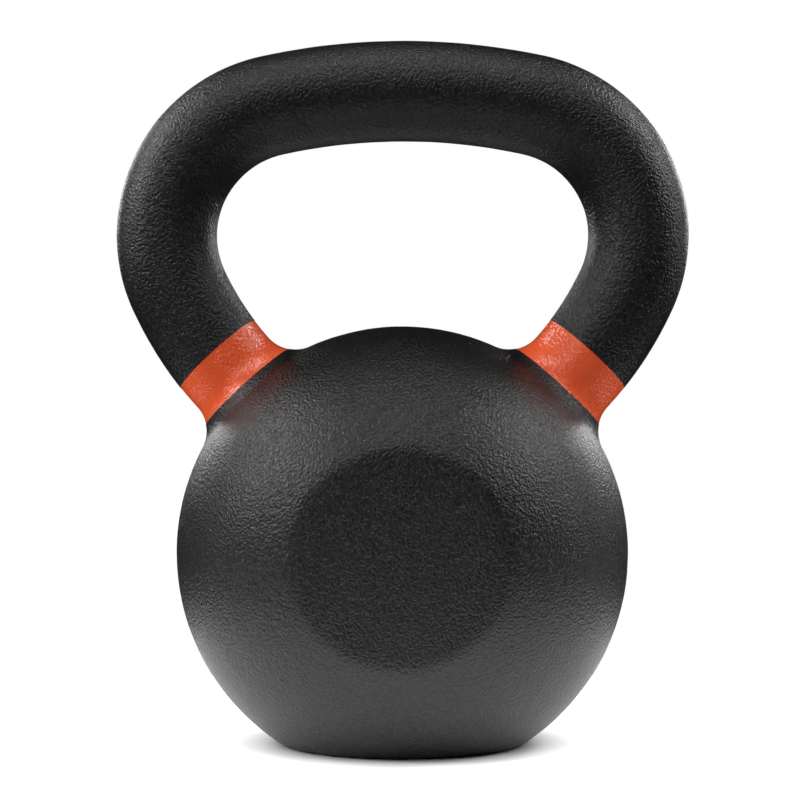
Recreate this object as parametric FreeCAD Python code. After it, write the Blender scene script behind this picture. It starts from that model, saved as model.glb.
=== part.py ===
"""A 16 kg kettlebell: one grey-iron casting, its black powder coat and two enamelled colour bands.

Millimetres. The base rests on Z = 0, the handle arches over the ball in the XZ plane, and the front looks
along -Y. The origin is the middle of the base.
"""

import FreeCAD
import Part

import math
import os

Vector = FreeCAD.Vector

# Outside sizes, over the coat
BALL_DIAMETER = 155.8
BALL_CENTRE_HEIGHT = 65.8
OVERALL_HEIGHT = 244.0
OVERALL_WIDTH = 199.8
GRIP_DIAMETER = 34.9

# The grip's centreline is five tangent arcs: the top, two corners and two legs that run into the ball
CORNER_RADIUS = 46.6
CORNER_HEIGHT = 176.1
LEG_RADIUS = 114.5
LEG_START_ANGLE = 25.0
LEG_SWEEP = 34.0

# Blends on the coated surface
HORN_FILLET = 13.0
FACE_EDGE_ROUND = 8.0
BASE_EDGE_ROUND = 5.8

# Flat faces on the front and back of the ball
FACE_DISTANCE = 69.9

# Films that lie on the iron
COAT_FILM = 0.3
BAND_FILM = 0.2

# Colour bands round the two horns
BAND_WIDTH = 15.6
BAND_OFFSET_X = 60.2
BAND_HEIGHT = 127.4
BAND_LEAN = 42.5
BAND_CLEAR_RADIUS = 25.0

# Worked out from the sizes above
HALF_SPAN = (OVERALL_WIDTH - GRIP_DIAMETER) / 2
TOP_HEIGHT = OVERALL_HEIGHT - GRIP_DIAMETER / 2
BALL_CENTRE = Vector(0, 0, BALL_CENTRE_HEIGHT)


def polar(centre, radius, degrees):
    """The point at that angle from +X, towards +Z, on a circle in the XZ plane."""
    angle = math.radians(degrees)
    return centre + Vector(radius * math.cos(angle), 0, radius * math.sin(angle))


def mirrored(point):
    return Vector(-point.x, point.y, point.z)


def grip_arcs():
    """The centreline as (centre, radius, first angle, last angle), each tangent to the next."""
    corner = Vector(HALF_SPAN - CORNER_RADIUS, 0, CORNER_HEIGHT)
    rise = TOP_HEIGHT - CORNER_HEIGHT
    top_radius = (corner.x**2 + rise**2 - CORNER_RADIUS**2) / (2 * (rise - CORNER_RADIUS))
    top = Vector(0, 0, TOP_HEIGHT - top_radius)
    shoulder = math.degrees(math.atan2(corner.z - top.z, corner.x - top.x))
    leg = polar(corner, CORNER_RADIUS - LEG_RADIUS, -LEG_START_ANGLE)
    leg_end = -LEG_START_ANGLE - LEG_SWEEP
    return [
        (top, top_radius, shoulder, 180 - shoulder),
        (corner, CORNER_RADIUS, -LEG_START_ANGLE, shoulder),
        (mirrored(corner), CORNER_RADIUS, 180 - shoulder, 180 + LEG_START_ANGLE),
        (leg, LEG_RADIUS, leg_end, -LEG_START_ANGLE),
        (mirrored(leg), LEG_RADIUS, 180 + LEG_START_ANGLE, 180 - leg_end),
    ]


def grip_bar(radius):
    """A round bar of that radius along the whole centreline."""
    stretches = []
    for centre, arc_radius, first, last in grip_arcs():
        start = polar(centre, arc_radius, first)
        along = polar(Vector(), 1, first + 90)
        section = Part.Face(Part.Wire(Part.makeCircle(radius, start, along)))
        stretches.append(section.revolve(centre, Vector(0, -1, 0), last - first))
    return stretches[0].multiFuse(stretches[1:]).removeSplitter()


def edges_between(solid, first, second):
    """The edges where a face on one kind of surface meets a face on another kind."""
    found = []
    for edge in solid.Edges:
        sides = [f for f in solid.Faces if any(e.isSame(edge) for e in f.Edges)]
        kinds = {type(f.Surface).__name__ for f in sides}
        if kinds == {first, second}:
            found.append(edge)
    return found


def side_box(low, high):
    size = high - low
    return Part.makeBox(size.x, size.y, size.z, low)


def casting(film):
    """The kettlebell's body with a film of that thickness on the iron: 0 is the bare iron."""
    inset = COAT_FILM - film
    reach = OVERALL_WIDTH
    ball = Part.makeSphere(BALL_DIAMETER / 2 - inset, BALL_CENTRE, Vector(0, 1, 0))
    body = ball.fuse(grip_bar(GRIP_DIAMETER / 2 - inset))
    body = body.makeFillet(HORN_FILLET + inset, edges_between(body, "Sphere", "Toroid"))
    face = FACE_DISTANCE - inset
    for low, high, edge_round in (
        (Vector(-reach, -reach, -reach), Vector(reach, reach, inset), BASE_EDGE_ROUND),
        (Vector(-reach, -reach, -reach), Vector(reach, -face, reach), FACE_EDGE_ROUND),
        (Vector(-reach, face, -reach), Vector(reach, reach, reach), FACE_EDGE_ROUND),
    ):
        body = body.cut(side_box(low, high))
        body = body.makeFillet(edge_round - inset, edges_between(body, "Sphere", "Plane"))
    return body


def band_slab(side):
    """The block that takes one band's length out of a horn. Side is -1 on the left and 1 on the right."""
    lean = math.radians(BAND_LEAN)
    along = Vector(side * math.sin(lean), 0, math.cos(lean))
    middle = Vector(side * BAND_OFFSET_X, 0, BAND_HEIGHT)
    return Part.makeCylinder(BAND_CLEAR_RADIUS, BAND_WIDTH, middle - along * (BAND_WIDTH / 2), along)


def export(node, shape):
    (solid,) = shape.Solids
    box = solid.optimalBoundingBox()
    print(
        f"{node}: valid {solid.isValid()}, {solid.Volume:.0f} mm3,"
        f" {box.XLength:.2f} x {box.YLength:.2f} x {box.ZLength:.2f}, from z {box.ZMin:.2f}"
    )
    solid.exportStep(f"parts/{node}.step")


def main():
    os.makedirs("parts", exist_ok=True)
    iron = casting(0)
    left, right = band_slab(-1), band_slab(1)
    coated = casting(COAT_FILM).cut([left, right])
    bell, handle = sorted(coated.Solids, key=lambda solid: solid.CenterOfMass.z)
    enamelled = casting(BAND_FILM)
    export("iron_casting", iron)
    export("bell_coat", bell.cut(iron))
    export("handle_coat", handle.cut(iron))
    export("left_band", enamelled.common(left).cut(iron))
    export("right_band", enamelled.common(right).cut(iron))


main()
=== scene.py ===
"""Kettlebell: one iron casting under a black powder coat and two enamelled bands, on a pale floor.

Shapes are worked out in millimetres and become metres as each mesh is made.
"""

import math

import bmesh
import bpy
import numpy as np
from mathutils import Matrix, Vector


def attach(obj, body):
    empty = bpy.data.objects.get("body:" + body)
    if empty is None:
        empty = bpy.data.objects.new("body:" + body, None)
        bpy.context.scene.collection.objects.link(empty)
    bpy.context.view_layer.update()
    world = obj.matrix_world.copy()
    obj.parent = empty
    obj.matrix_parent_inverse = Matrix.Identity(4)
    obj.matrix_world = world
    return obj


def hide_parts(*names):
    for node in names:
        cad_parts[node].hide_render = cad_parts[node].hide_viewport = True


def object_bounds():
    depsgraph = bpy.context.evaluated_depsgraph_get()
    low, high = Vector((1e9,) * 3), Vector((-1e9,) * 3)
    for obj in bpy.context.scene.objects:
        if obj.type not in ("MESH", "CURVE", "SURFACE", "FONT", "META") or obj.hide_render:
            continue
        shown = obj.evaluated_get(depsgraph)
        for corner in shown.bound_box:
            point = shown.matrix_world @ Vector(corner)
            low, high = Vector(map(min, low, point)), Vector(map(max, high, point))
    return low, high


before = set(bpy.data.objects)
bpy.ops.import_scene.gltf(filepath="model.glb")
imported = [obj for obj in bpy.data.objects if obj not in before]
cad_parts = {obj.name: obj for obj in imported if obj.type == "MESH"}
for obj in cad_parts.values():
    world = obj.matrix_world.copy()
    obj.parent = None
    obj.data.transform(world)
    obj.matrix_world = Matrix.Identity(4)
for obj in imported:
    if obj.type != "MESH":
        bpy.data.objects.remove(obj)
cad_low, cad_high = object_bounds()

scene = bpy.context.scene
MM = 0.001


# --- Camera -------------------------------------------------------------------------------------
# A long lens a little below the middle of the kettlebell, looking very slightly up and nearly square
# on to the front flat.
CAMERA_DISTANCE = 0.649
CAMERA_HEIGHT = 0.094
CAMERA_YAW = math.radians(0.6)
AIM_BELOW_MIDDLE = 0.0038
AIM_LEFT = 0.0008
SENSOR_WIDTH = 36.0
LENS = 83.8

camera = bpy.data.objects.new("camera", bpy.data.cameras.new("camera"))
scene.collection.objects.link(camera)
scene.camera = camera
camera.data.sensor_width = SENSOR_WIDTH
camera.data.lens = LENS
camera.location = (
    CAMERA_DISTANCE * math.sin(CAMERA_YAW),
    -CAMERA_DISTANCE * math.cos(CAMERA_YAW),
    CAMERA_HEIGHT,
)
aim = Vector((-AIM_LEFT, 0, (cad_low.z + cad_high.z) / 2 - AIM_BELOW_MIDDLE))
camera.rotation_euler = (aim - camera.location).to_track_quat("-Z", "Y").to_euler()


# --- Iron casting -------------------------------------------------------------------------------
# Grey iron, sand cast in one piece and shot blasted. It carries everything and is wholly under the
# films, so its CAD shape stays and only gets its as-cast finish.
def srgb(hex_colour):
    """A colour written as sRGB hex, as the linear RGBA that shaders take."""
    channels = [int(hex_colour[i : i + 2], 16) / 255 for i in (1, 3, 5)]
    linear = [c / 12.92 if c <= 0.04045 else ((c + 0.055) / 1.055) ** 2.4 for c in channels]
    return (*linear, 1.0)


def add_node(tree, kind, settings=None, **inputs):
    """A new node with its settings and inputs: an output socket is linked, all else is a value."""
    node = tree.nodes.new(kind)
    for name, value in (settings or {}).items():
        setattr(node, name, value)
    for name, value in inputs.items():
        key = int(name[1:]) if name[0] == "_" and name[1:].isdigit() else name.replace("_", " ")
        if isinstance(value, bpy.types.NodeSocket):
            tree.links.new(value, node.inputs[key])
        else:
            node.inputs[key].default_value = value
    return node


def new_material(name):
    """An empty node material with its output, and the object coordinates that patterns read."""
    material = bpy.data.materials.new(name)
    material.use_nodes = True
    tree = material.node_tree
    tree.nodes.clear()
    place = add_node(tree, "ShaderNodeTexCoord").outputs["Object"]
    output = add_node(tree, "ShaderNodeOutputMaterial")
    return material, tree, place, output


def per_metre(size_mm):
    """The texture scale that makes a pattern's cells that many millimetres wide."""
    return 1000.0 / size_mm


# Shot-blasted grey iron: a metal with a dull, evenly pocked skin
IRON_DARK = srgb("#5b5a58")
IRON_LIGHT = srgb("#7b7975")
BLAST_PIT = 0.8
BLAST_DEPTH = 0.08
IRON_ROUGHNESS = 0.55

iron_finish, tree, place, output = new_material("grey_iron_shot_blasted")
pits = add_node(tree, "ShaderNodeTexNoise", Vector=place, Scale=per_metre(BLAST_PIT), Detail=3.0)
tone = add_node(tree, "ShaderNodeValToRGB", Fac=pits.outputs["Fac"])
tone.color_ramp.elements[0].color = IRON_DARK
tone.color_ramp.elements[1].color = IRON_LIGHT
dents = add_node(tree, "ShaderNodeBump", Height=pits.outputs["Fac"], Distance=BLAST_DEPTH * MM)
iron = add_node(
    tree,
    "ShaderNodeBsdfPrincipled",
    Base_Color=tone.outputs["Color"],
    Metallic=1.0,
    Roughness=IRON_ROUGHNESS,
    Normal=dents.outputs["Normal"],
)
tree.links.new(iron.outputs["BSDF"], output.inputs["Surface"])
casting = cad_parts["iron_casting"]
casting.data.materials.clear()
casting.data.materials.append(iron_finish)


# --- Bell coat ----------------------------------------------------------------------------------
# Black epoxy-polyester powder, baked over the ball, its two flats, its base and the feet of the
# horns. The film follows the iron, and keeps the sand's grain.
BALL_RADIUS = 77.9
BALL_HEIGHT = 65.8
FLAT_DISTANCE = 69.9
FLAT_ROUND = 8.0
BASE_ROUND = 5.8
GRIP_RADIUS = 17.45
CORNER_RADIUS = 46.6
CORNER_HEIGHT = 176.1
LEG_RADIUS = 114.5
LEG_START = math.radians(-25.0)
HORN_BLEND = 13.0
COAT_FILM = 0.3
BAND_WIDTH = 15.6
BAND_MIDDLE = np.array((60.2, 0.0, 127.4))
BAND_LEAN = math.radians(42.5)
BALL_SQUARES = 72
HORN_STAVES = 160
HORN_ROWS = 12
BAR_TURN = 0.35
FURTHEST = 2.5
HALVINGS = 40
WELD = 0.01
FOOT_CLEARANCE = 0.45
SHARP_ANGLE = math.radians(50)

ball_centre = np.array((0.0, 0.0, BALL_HEIGHT))
band_axis = np.array((math.sin(BAND_LEAN), 0.0, math.cos(BAND_LEAN)))
half_span = (cad_high.x - cad_low.x) / 2 / MM - GRIP_RADIUS
corner_centre = np.array((half_span - CORNER_RADIUS, 0.0, CORNER_HEIGHT))
leg_centre = corner_centre + (CORNER_RADIUS - LEG_RADIUS) * np.array(
    (math.cos(LEG_START), 0.0, math.sin(LEG_START))
)


def on_leg(turn, around, radius):
    """A point that far from the right leg's centreline: turn runs along its arc, around round it."""
    reach = LEG_RADIUS + radius * np.cos(around)
    offset = (reach * np.cos(turn), radius * np.sin(around), reach * np.sin(turn))
    return leg_centre + np.stack(offset, -1)


def horn_skin(around, along, sink=0.0):
    """A point on the right horn: along is 0 to 1 up the blend from the ball, then on up the bar."""
    ball, bar, blend = BALL_RADIUS - sink, GRIP_RADIUS - sink, HORN_BLEND + sink
    reach = LEG_RADIUS + (bar + blend) * np.cos(around)
    side = (bar + blend) * np.sin(around)
    gap = leg_centre - ball_centre
    span = np.linalg.norm(gap)
    bend = ((ball + blend) ** 2 - side**2 - span**2 - reach**2) / (2 * reach * span)
    seat = math.atan2(gap[2], gap[0]) - np.arccos(bend)
    middle = on_leg(seat, around, bar + blend)
    to_ball = (ball_centre - middle) / (ball + blend)
    to_bar = (on_leg(seat, around, bar) - middle) / blend
    wedge = np.arccos(np.sum(to_ball * to_bar, -1))[..., None]
    part = np.clip(along, 0, 1)[..., None]
    on_blend = middle + blend * (
        np.sin((1 - part) * wedge) * to_ball + np.sin(part * wedge) * to_bar
    ) / np.sin(wedge)
    on_bar = on_leg(seat + BAR_TURN * np.clip(along - 1, 0, None), around, bar)
    return np.where(along[..., None] <= 1, on_blend, on_bar)


def reaching(around, height, sink=0.0):
    """How far along each stave of the horn the skin passes that height above the band's middle."""
    low, high = np.zeros_like(around), np.full_like(around, FURTHEST)
    for _ in range(HALVINGS):
        middle = (low + high) / 2
        above = (horn_skin(around, middle, sink) - BAND_MIDDLE) @ band_axis > height
        low, high = np.where(above, low, middle), np.where(above, middle, high)
    return low


def horn_grid(side, start, stop, rows, sink=0.0):
    """Points and quads of a horn's skin between two distances along it; side is -1 left, 1 right."""
    around = np.linspace(0, 2 * math.pi, HORN_STAVES, endpoint=False)
    share = np.linspace(0, 1, rows + 1)[:, None]
    along = start + (stop - start) * share
    points = horn_skin(np.broadcast_to(around, along.shape), along, sink).reshape(-1, 3)
    points[:, 0] *= side
    row, column = np.meshgrid(np.arange(rows), np.arange(HORN_STAVES), indexing="ij")
    here, there = row * HORN_STAVES + column, row * HORN_STAVES + (column + 1) % HORN_STAVES
    quads = np.stack((here, there, there + HORN_STAVES, here + HORN_STAVES), -1).reshape(-1, 4)
    return points, quads


def ball_reach(toward):
    """Distance from the ball's centre to its skin in each direction, with the flats and the base."""
    reach = np.full(len(toward), BALL_RADIUS)
    for way, distance, round_edge in (
        ((0, -1, 0), FLAT_DISTANCE, FLAT_ROUND),
        ((0, 1, 0), FLAT_DISTANCE, FLAT_ROUND),
        ((0, 0, -1), BALL_HEIGHT, BASE_ROUND),
    ):
        off = np.arccos(np.clip(toward @ np.array(way, float), -1, 1))
        inner = BALL_RADIUS - round_edge
        ring = math.acos((distance - round_edge) / inner)
        flat_edge = math.atan2(inner * math.sin(ring), distance)
        on_flat, on_round = off < flat_edge, (off >= flat_edge) & (off < ring)
        reach[on_flat] = distance / np.cos(off[on_flat])
        swing = off[on_round] - ring
        side = np.sqrt(round_edge**2 - (inner * np.sin(swing)) ** 2)
        reach[on_round] = inner * np.cos(swing) + side
    return reach


def cube_ball(squares):
    """Directions and quads of a ball of even squares, from the six sides of a cube."""
    steps = np.tan(np.linspace(-1, 1, squares + 1) * math.pi / 4)
    across, up = np.meshgrid(steps, steps, indexing="ij")
    ahead = np.ones_like(across)
    points, quads = [], []
    row, column = np.meshgrid(np.arange(squares), np.arange(squares), indexing="ij")
    corner = row * (squares + 1) + column
    square = np.stack((corner, corner + squares + 1, corner + squares + 2, corner + 1), -1)
    square = square.reshape(-1, 4)
    for axes in ((0, 1, 2), (1, 2, 0), (2, 0, 1)):
        for way in (-1, 1):
            side = np.empty((squares + 1, squares + 1, 3))
            side[..., axes[0]], side[..., axes[1]], side[..., axes[2]] = across, up, ahead * way
            quads.append(square[:, ::way] + len(points) * (squares + 1) ** 2)
            points.append(side.reshape(-1, 3))
    points = np.concatenate(points)
    return points / np.linalg.norm(points, axis=1)[:, None], np.concatenate(quads)


def add_skin(mesh, points, quads):
    """Adds those points, in millimetres, and quads to a bmesh and gives the new vertices."""
    verts = [mesh.verts.new(p) for p in points * MM]
    for quad in quads:
        mesh.faces.new([verts[i] for i in quad])
    return verts


def open_edges(mesh):
    return [e for e in mesh.edges if e.is_boundary]


bell_mesh = bmesh.new()
toward, squares = cube_ball(BALL_SQUARES)
add_skin(bell_mesh, ball_centre + toward * ball_reach(toward)[:, None], squares)
bmesh.ops.remove_doubles(bell_mesh, verts=bell_mesh.verts, dist=WELD * MM)

# The ball is opened under each horn, a little wider than the blend's foot, and the two are joined
staves = np.linspace(0, 2 * math.pi, HORN_STAVES, endpoint=False)
foot = horn_skin(staves, np.zeros(HORN_STAVES)) - ball_centre
foot /= np.linalg.norm(foot, axis=1)[:, None]
horn_way = foot.mean(0) / np.linalg.norm(foot.mean(0))
horn_side = np.cross((0, 1, 0), horn_way)


def around_horn(direction):
    """Angle round the right horn's axis and angle off it, for each direction from the ball."""
    turn = np.arctan2(direction @ np.array((0.0, 1.0, 0.0)), direction @ horn_side)
    return turn, np.arccos(np.clip(direction @ horn_way, -1, 1))


foot_turn, foot_off = around_horn(foot)
order = np.argsort(foot_turn)
verts = list(bell_mesh.verts)
spots = np.array([v.co for v in verts]) / MM - ball_centre
spots /= np.linalg.norm(spots, axis=1)[:, None]
clearance = FOOT_CLEARANCE * (math.pi / 2 / BALL_SQUARES)
opened = set()
for side in (-1, 1):
    turn, off = around_horn(spots * (side, 1, 1))
    edge = np.interp(turn, foot_turn[order], foot_off[order], period=2 * math.pi)
    opened.update(np.flatnonzero(off < edge + clearance).tolist())
bmesh.ops.delete(bell_mesh, geom=[verts[i] for i in opened], context="VERTS")
for side in (-1, 1):
    rim = [e for e in open_edges(bell_mesh) if e.verts[0].co.x * side > 0]
    top = reaching(staves, -BAND_WIDTH / 2)
    points, quads = horn_grid(side, 0.0, top, HORN_ROWS)
    ring = add_skin(bell_mesh, points, quads)[:HORN_STAVES]
    ring_edges = [bell_mesh.edges.get((ring[i - 1], ring[i])) for i in range(HORN_STAVES)]
    bmesh.ops.bridge_loops(bell_mesh, edges=rim + ring_edges)
bmesh.ops.recalc_face_normals(bell_mesh, faces=bell_mesh.faces)


def new_piece(name, mesh):
    """An object at the origin that holds the bmesh."""
    data = bpy.data.meshes.new(name)
    mesh.to_mesh(data)
    mesh.free()
    piece = bpy.data.objects.new(name, data)
    scene.collection.objects.link(piece)
    return piece


def cast_skin_tree():
    """Geometry Nodes: lets a skin wander in and out a little, as iron poured in a sand mould does."""
    tree = bpy.data.node_groups.new("cast_skin", "GeometryNodeTree")
    for name, kind in (
        ("Geometry", "NodeSocketGeometry"),
        ("Wave Size", "NodeSocketFloat"),
        ("Wave Height", "NodeSocketFloat"),
        ("Dimple Size", "NodeSocketFloat"),
        ("Dimple Height", "NodeSocketFloat"),
        ("Finish", "NodeSocketMaterial"),
    ):
        tree.interface.new_socket(name=name, in_out="INPUT", socket_type=kind)
    tree.interface.new_socket(name="Geometry", in_out="OUTPUT", socket_type="NodeSocketGeometry")
    given = add_node(tree, "NodeGroupInput").outputs
    place = add_node(tree, "GeometryNodeInputPosition").outputs["Position"]
    normal = add_node(tree, "GeometryNodeInputNormal").outputs["Normal"]
    lifts = []
    for size, height, seed in (
        ("Wave Size", "Wave Height", 3.0),
        ("Dimple Size", "Dimple Height", 11.0),
    ):
        scale = add_node(tree, "ShaderNodeMath", {"operation": "DIVIDE"}, _0=1.0, _1=given[size])
        noise = add_node(
            tree,
            "ShaderNodeTexNoise",
            {"noise_dimensions": "4D"},
            Vector=place,
            W=seed,
            Scale=scale.outputs[0],
            Detail=1.0,
        )
        from_middle = add_node(
            tree, "ShaderNodeMath", {"operation": "SUBTRACT"}, _0=noise.outputs[0], _1=0.5
        )
        lift = add_node(
            tree,
            "ShaderNodeMath",
            {"operation": "MULTIPLY"},
            _0=from_middle.outputs[0],
            _1=given[height],
        )
        lifts.append(lift.outputs[0])
    total = add_node(tree, "ShaderNodeMath", {"operation": "ADD"}, _0=lifts[0], _1=lifts[1])
    offset = add_node(
        tree, "ShaderNodeVectorMath", {"operation": "SCALE"}, _0=normal, Scale=total.outputs[0]
    )
    moved = add_node(
        tree, "GeometryNodeSetPosition", Geometry=given["Geometry"], Offset=offset.outputs["Vector"]
    )
    # The base is left no lower than the floor it stands on
    on_floor = add_node(
        tree, "ShaderNodeVectorMath", {"operation": "MAXIMUM"}, _0=place, _1=(-1.0, -1.0, 0.0)
    )
    rested = add_node(
        tree,
        "GeometryNodeSetPosition",
        Geometry=moved.outputs["Geometry"],
        Position=on_floor.outputs["Vector"],
    )
    real = add_node(tree, "GeometryNodeRealizeInstances", Geometry=rested.outputs["Geometry"])
    finished = add_node(
        tree, "GeometryNodeSetMaterial", Geometry=real.outputs["Geometry"], Material=given["Finish"]
    )
    add_node(tree, "NodeGroupOutput", Geometry=finished.outputs["Geometry"])
    return tree


def give_nodes(piece, tree, sizes):
    """Adds the tree as a modifier, with its named inputs set."""
    modifier = piece.modifiers.new(tree.name, "NODES")
    modifier.node_group = tree
    for item in tree.interface.items_tree:
        if item.item_type == "SOCKET" and item.in_out == "INPUT" and item.name in sizes:
            modifier[item.identifier] = sizes[item.name]
    return modifier


def bake_modifiers(piece):
    """Turns what the modifiers make into the piece's own plain mesh, smooth but for sharp edges."""
    depsgraph = bpy.context.evaluated_depsgraph_get()
    made = bpy.data.meshes.new_from_object(piece.evaluated_get(depsgraph), depsgraph=depsgraph)
    piece.modifiers.clear()
    if piece.type == "MESH":
        piece.data = made
    else:
        piece = bpy.data.objects.new(piece.name, made)
        scene.collection.objects.link(piece)
    made.shade_smooth()
    made.set_sharp_from_angle(angle=SHARP_ANGLE)
    return piece


def film(piece, thickness):
    """Gives an outer skin its thickness, inwards to the iron."""
    wall = piece.modifiers.new("film", "SOLIDIFY")
    wall.thickness = thickness * MM
    wall.offset = -1.0
    wall.use_rim = True


# Black powder coat, fine texture: matte, with the sand grain showing through as small soft pebbles
# Painted shade in the grain: the coat's colour is near black in its pits and lighter on its peaks
POWDER_PIT_PAINTED_SHADE = srgb("#040404")
POWDER_PEAK_PAINTED_LIGHT = srgb("#1c1c1d")
GRAIN = 0.95
FINE_GRAIN = 0.5
GRAIN_HEIGHT = 0.46
FINE_SHARE = 0.4
WARP_SIZE = 2.4
WARP_REACH = 0.9
PIT_LEVEL = 0.58
PEAK_LEVEL = 0.82
PIT_ROUGHNESS = 0.44
PEAK_ROUGHNESS = 0.3
POWDER_IOR = 1.45

powder_coat, tree, place, output = new_material("black_powder_coat_fine_texture")
warp = add_node(tree, "ShaderNodeTexNoise", Vector=place, Scale=per_metre(WARP_SIZE), Detail=1.0)
bent = add_node(
    tree,
    "ShaderNodeVectorMath",
    {"operation": "MULTIPLY_ADD"},
    _0=warp.outputs["Color"],
    _1=[WARP_REACH * MM] * 3,
    _2=place,
)
pebbles = add_node(
    tree, "ShaderNodeTexNoise", Vector=bent.outputs["Vector"], Scale=per_metre(GRAIN), Detail=1.0
)
fine = add_node(tree, "ShaderNodeTexNoise", Vector=place, Scale=per_metre(FINE_GRAIN), Detail=1.0)
height = add_node(
    tree,
    "ShaderNodeMath",
    {"operation": "MULTIPLY_ADD"},
    _0=fine.outputs["Fac"],
    _1=FINE_SHARE,
    _2=pebbles.outputs["Fac"],
)
bump = add_node(tree, "ShaderNodeBump", Height=height.outputs[0], Distance=GRAIN_HEIGHT * MM)
# Painted shade and light: the colour follows the grain's height, darkest in the pits, lightest on the
# peaks
colour = add_node(tree, "ShaderNodeValToRGB", Fac=height.outputs[0])
colour.color_ramp.elements[0].position = PIT_LEVEL
colour.color_ramp.elements[0].color = POWDER_PIT_PAINTED_SHADE
colour.color_ramp.elements[1].position = PEAK_LEVEL
colour.color_ramp.elements[1].color = POWDER_PEAK_PAINTED_LIGHT
matte = add_node(
    tree,
    "ShaderNodeMapRange",
    Value=pebbles.outputs["Fac"],
    To_Min=PIT_ROUGHNESS,
    To_Max=PEAK_ROUGHNESS,
)
coat = add_node(
    tree,
    "ShaderNodeBsdfPrincipled",
    Base_Color=colour.outputs["Color"],
    Roughness=matte.outputs["Result"],
    IOR=POWDER_IOR,
    Normal=bump.outputs["Normal"],
)
tree.links.new(coat.outputs["BSDF"], output.inputs["Surface"])

WAVE = {
    "Wave Size": 14.0 * MM,
    "Wave Height": 0.22 * MM,
    "Dimple Size": 5.0 * MM,
    "Dimple Height": 0.08 * MM,
}
cast_skin = cast_skin_tree()
bell = new_piece("bell_powder_coat", bell_mesh)
give_nodes(bell, cast_skin, WAVE | {"Finish": powder_coat})
film(bell, COAT_FILM)
bell = bake_modifiers(bell)
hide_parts("bell_coat")
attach(bell, "root")


# --- Handle coat --------------------------------------------------------------------------------
# The same powder film along the grip: one round bar whose centreline is five tangent arcs. It stops
# square at the bands, which were masked off while the powder was sprayed.
BAR_STEP = 0.9
BAR_SIDES = 120
CUT_ALLOWANCE = 3.0

rise = cad_high.z / MM - GRIP_RADIUS - CORNER_HEIGHT
top_radius = (corner_centre[0] ** 2 + rise**2 - CORNER_RADIUS**2) / (2 * (rise - CORNER_RADIUS))
top_centre = np.array((0.0, 0.0, cad_high.z / MM - GRIP_RADIUS - top_radius))
shoulder = math.atan2(*(corner_centre - top_centre)[[2, 0]])
cut = BAND_MIDDLE + band_axis * (BAND_WIDTH / 2)
cut_turn = -BAND_LEAN + math.pi / 2 - math.acos(((cut - leg_centre) @ band_axis) / LEG_RADIUS)
leg_end = cut_turn - CUT_ALLOWANCE / LEG_RADIUS
half_line = []
for centre, radius, first, last in (
    (top_centre, top_radius, math.pi / 2, shoulder),
    (corner_centre, CORNER_RADIUS, shoulder, LEG_START),
    (leg_centre, LEG_RADIUS, LEG_START, leg_end),
):
    steps = max(2, round((first - last) * radius / BAR_STEP))
    angles = np.linspace(first, last, steps, endpoint=False)
    half_line.append(centre + radius * np.stack((np.cos(angles), 0 * angles, np.sin(angles)), -1))
half_line = np.concatenate(half_line)
centreline = np.concatenate((half_line[:0:-1] * (-1, 1, 1), half_line))

curve = bpy.data.curves.new("grip_centreline", "CURVE")
curve.dimensions = "3D"
spline = curve.splines.new("POLY")
spline.points.add(len(centreline) - 1)
weighted = np.column_stack((centreline * MM, np.ones(len(centreline))))
spline.points.foreach_set("co", weighted.ravel())
grip_line = bpy.data.objects.new("handle_powder_coat", curve)
scene.collection.objects.link(grip_line)


def round_bar_tree():
    """Geometry Nodes: the skin of a round bar along a curve."""
    tree = bpy.data.node_groups.new("round_bar", "GeometryNodeTree")
    for name, kind in (
        ("Geometry", "NodeSocketGeometry"),
        ("Bar Radius", "NodeSocketFloat"),
        ("Sides", "NodeSocketInt"),
        ("Finish", "NodeSocketMaterial"),
    ):
        tree.interface.new_socket(name=name, in_out="INPUT", socket_type=kind)
    tree.interface.new_socket(name="Geometry", in_out="OUTPUT", socket_type="NodeSocketGeometry")
    given = add_node(tree, "NodeGroupInput").outputs
    ring = add_node(
        tree,
        "GeometryNodeCurvePrimitiveCircle",
        Resolution=given["Sides"],
        Radius=given["Bar Radius"],
    )
    bar = add_node(
        tree,
        "GeometryNodeCurveToMesh",
        Curve=given["Geometry"],
        Profile_Curve=ring.outputs["Curve"],
        Fill_Caps=False,
    )
    real = add_node(tree, "GeometryNodeRealizeInstances", Geometry=bar.outputs["Mesh"])
    finished = add_node(
        tree, "GeometryNodeSetMaterial", Geometry=real.outputs["Geometry"], Material=given["Finish"]
    )
    add_node(tree, "NodeGroupOutput", Geometry=finished.outputs["Geometry"])
    return tree


give_nodes(
    grip_line,
    round_bar_tree(),
    {"Bar Radius": GRIP_RADIUS * MM, "Sides": BAR_SIDES, "Finish": powder_coat},
)
bar = bake_modifiers(grip_line)
bpy.data.objects.remove(grip_line)
bar_mesh = bmesh.new()
bar_mesh.from_mesh(bar.data)
bpy.data.objects.remove(bar)
for side in (-1, 1):
    leg_faces = [f for f in bar_mesh.faces if f.calc_center_median().x * side > 0]
    bmesh.ops.bisect_plane(
        bar_mesh,
        geom=list({g for f in leg_faces for g in (*f.verts, *f.edges, f)}),
        plane_co=cut * (side, 1, 1) * MM,
        plane_no=-band_axis * (side, 1, 1),
        clear_outer=True,
    )
handle = new_piece("handle_powder_coat", bar_mesh)
give_nodes(handle, cast_skin, WAVE | {"Finish": powder_coat})
film(handle, COAT_FILM)
handle = bake_modifiers(handle)
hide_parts("handle_coat")
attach(handle, "root")


# --- Bands --------------------------------------------------------------------------------------
# Orange-red enamel, brushed on the bare horns between two masked lines once the powder is baked. It
# is thinner than the powder, and glossy, so the casting's grain breaks up its highlights.
BAND_FILM = 0.2
BAND_ROWS = 26
BAND_WAVE = 0.12

ENAMEL = srgb("#fd683c")
ENAMEL_DEEP = srgb("#f66036")
ENAMEL_RELIEF = 0.3
FLOW_SIZE = 6.0
SMOOTHEST = 0.16
ROUGHEST = 0.26
ENAMEL_IOR = 1.5

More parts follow.
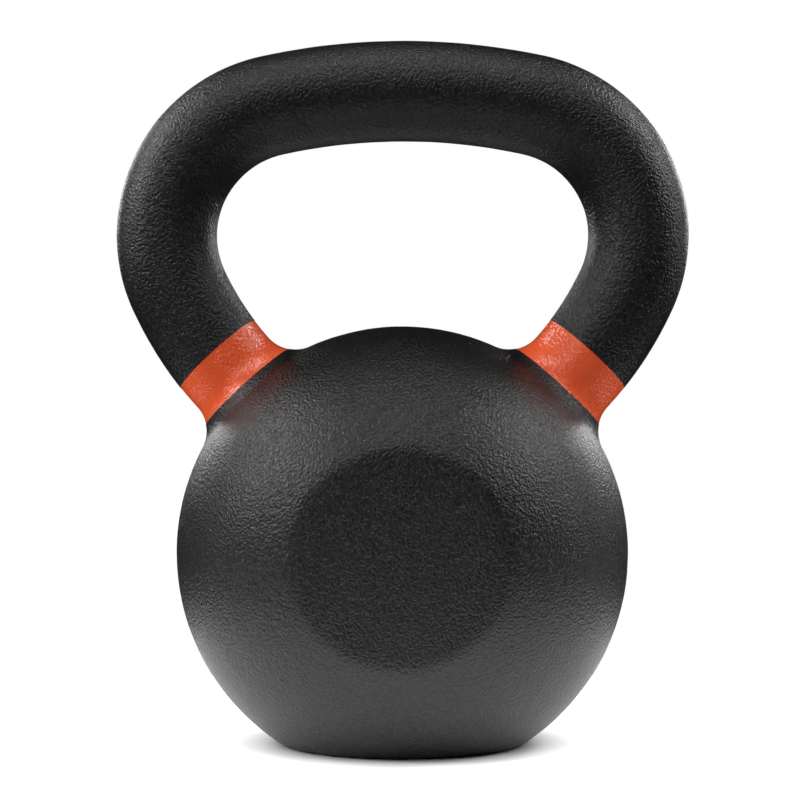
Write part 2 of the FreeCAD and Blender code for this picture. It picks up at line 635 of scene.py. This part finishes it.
enamel_finish, tree, place, output = new_material("orange_enamel_brushed")
pebbles = add_node(tree, "ShaderNodeTexNoise", Vector=place, Scale=per_metre(GRAIN), Detail=1.0)
bump = add_node(tree, "ShaderNodeBump", Height=pebbles.outputs["Fac"], Distance=ENAMEL_RELIEF * MM)
flow = add_node(tree, "ShaderNodeTexNoise", Vector=place, Scale=per_metre(FLOW_SIZE), Detail=2.0)
colour = add_node(tree, "ShaderNodeValToRGB", Fac=flow.outputs["Fac"])
colour.color_ramp.elements[0].position = 0.3
colour.color_ramp.elements[0].color = ENAMEL_DEEP
colour.color_ramp.elements[1].position = 0.7
colour.color_ramp.elements[1].color = ENAMEL
gloss = add_node(
    tree, "ShaderNodeMapRange", Value=flow.outputs["Fac"], To_Min=SMOOTHEST, To_Max=ROUGHEST
)
enamel = add_node(
    tree,
    "ShaderNodeBsdfPrincipled",
    Base_Color=colour.outputs["Color"],
    Roughness=gloss.outputs["Result"],
    IOR=ENAMEL_IOR,
    Normal=bump.outputs["Normal"],
)
tree.links.new(enamel.outputs["BSDF"], output.inputs["Surface"])

for side, name, node in (
    (-1, "left_enamel_band", "left_band"),
    (1, "right_enamel_band", "right_band"),
):
    sink = COAT_FILM - BAND_FILM
    low = reaching(staves, -BAND_WIDTH / 2, sink)
    high = reaching(staves, BAND_WIDTH / 2, sink)
    band_mesh = bmesh.new()
    points, quads = horn_grid(side, low, high, BAND_ROWS, sink)
    add_skin(band_mesh, points, quads[:, ::side])
    band = new_piece(name, band_mesh)
    give_nodes(band, cast_skin, WAVE | {"Wave Height": BAND_WAVE * MM, "Finish": enamel_finish})
    film(band, BAND_FILM)
    band = bake_modifiers(band)
    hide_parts(node)
    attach(band, "root")


# --- Studio -------------------------------------------------------------------------------------
# A small round glowing floor in a white room, inside a ring of soft boxes. The black coat shows
# mostly what it reflects, so the boxes stand where the ball and the grip pass on their sheen.
FLOOR_RADIUS = 0.22

floor_mesh = bmesh.new()
bmesh.ops.create_circle(floor_mesh, cap_ends=True, segments=96, radius=FLOOR_RADIUS)
floor = new_piece("studio_floor", floor_mesh)
# A white floor that glows evenly further out; its glow fades to nothing towards the base, a painted
# contact shadow laid over the real one the lamps cast
GLOW = 0.74
PAINTED_SHADOW_CORE = 0.043
PAINTED_SHADOW_RIM = 0.061

floor_finish, tree, place, output = new_material("white_floor_glow_painted_contact_shadow")
reach = add_node(tree, "ShaderNodeVectorMath", {"operation": "LENGTH"}, _0=place)
# Painted contact shadow: no glow in a ring round the base, full glow a little further out
glow = add_node(
    tree,
    "ShaderNodeMapRange",
    Value=reach.outputs["Value"],
    From_Min=PAINTED_SHADOW_CORE,
    From_Max=PAINTED_SHADOW_RIM,
    To_Max=GLOW,
)
card = add_node(
    tree,
    "ShaderNodeBsdfPrincipled",
    Base_Color=srgb("#f4f4f4"),
    Roughness=0.6,
    Emission_Color=srgb("#ffffff"),
    Emission_Strength=glow.outputs["Result"],
)
tree.links.new(card.outputs["BSDF"], output.inputs["Surface"])
floor.data.materials.append(floor_finish)

# The room is white where the camera looks and dark everywhere else
world = bpy.data.worlds.new("white_room")
scene.world = world
world.use_nodes = True
sky = world.node_tree.nodes["Background"]
seen = add_node(world.node_tree, "ShaderNodeLightPath")
world.node_tree.links.new(seen.outputs["Is Camera Ray"], sky.inputs["Strength"])
sky.inputs["Color"].default_value = (1, 1, 1, 1)

# Soft boxes in a ring round the kettlebell: compass angle from the front, height angle, watts
RING = 1.6
BOX = 0.34
middle = Vector((0, 0, (cad_low.z + cad_high.z) / 2))
for name, compass, lift, watts in (
    ("top_softbox", -10, 78, 5.3),
    ("high_softbox", -10, 52, 4.3),
    ("front_softbox", -20, 26, 2.8),
    ("left_front_softbox", -70, 26, 7.4),
    ("left_softbox", -92, 34, 6.6),
    ("left_back_softbox", -114, 42, 4.1),
    ("left_low_softbox", -105, 6, 1.4),
    ("left_rim_softbox", -150, 16, 2.6),
    ("right_high_softbox", 70, 52, 3.1),
    ("right_softbox", 92, 30, 6.5),
    ("right_back_softbox", 114, 42, 5.5),
    ("right_low_softbox", 115, 6, 1.6),
    ("right_rim_softbox", 150, 16, 3.1),
):
    lamp = bpy.data.lights.new(name, "AREA")
    lamp.shape = "RECTANGLE"
    lamp.size, lamp.size_y = BOX, BOX
    lamp.energy = watts
    light = bpy.data.objects.new(name, lamp)
    turn, rise = math.radians(compass), math.radians(lift)
    level = math.cos(rise)
    way = Vector((math.sin(turn) * level, -math.cos(turn) * level, math.sin(rise)))
    light.location = middle + RING * way
    light.rotation_euler = (-way).to_track_quat("-Z", "Y").to_euler()
    light.visible_camera = False
    scene.collection.objects.link(light)

scene.view_settings.view_transform = "Standard"
scene.view_settings.look = "None"
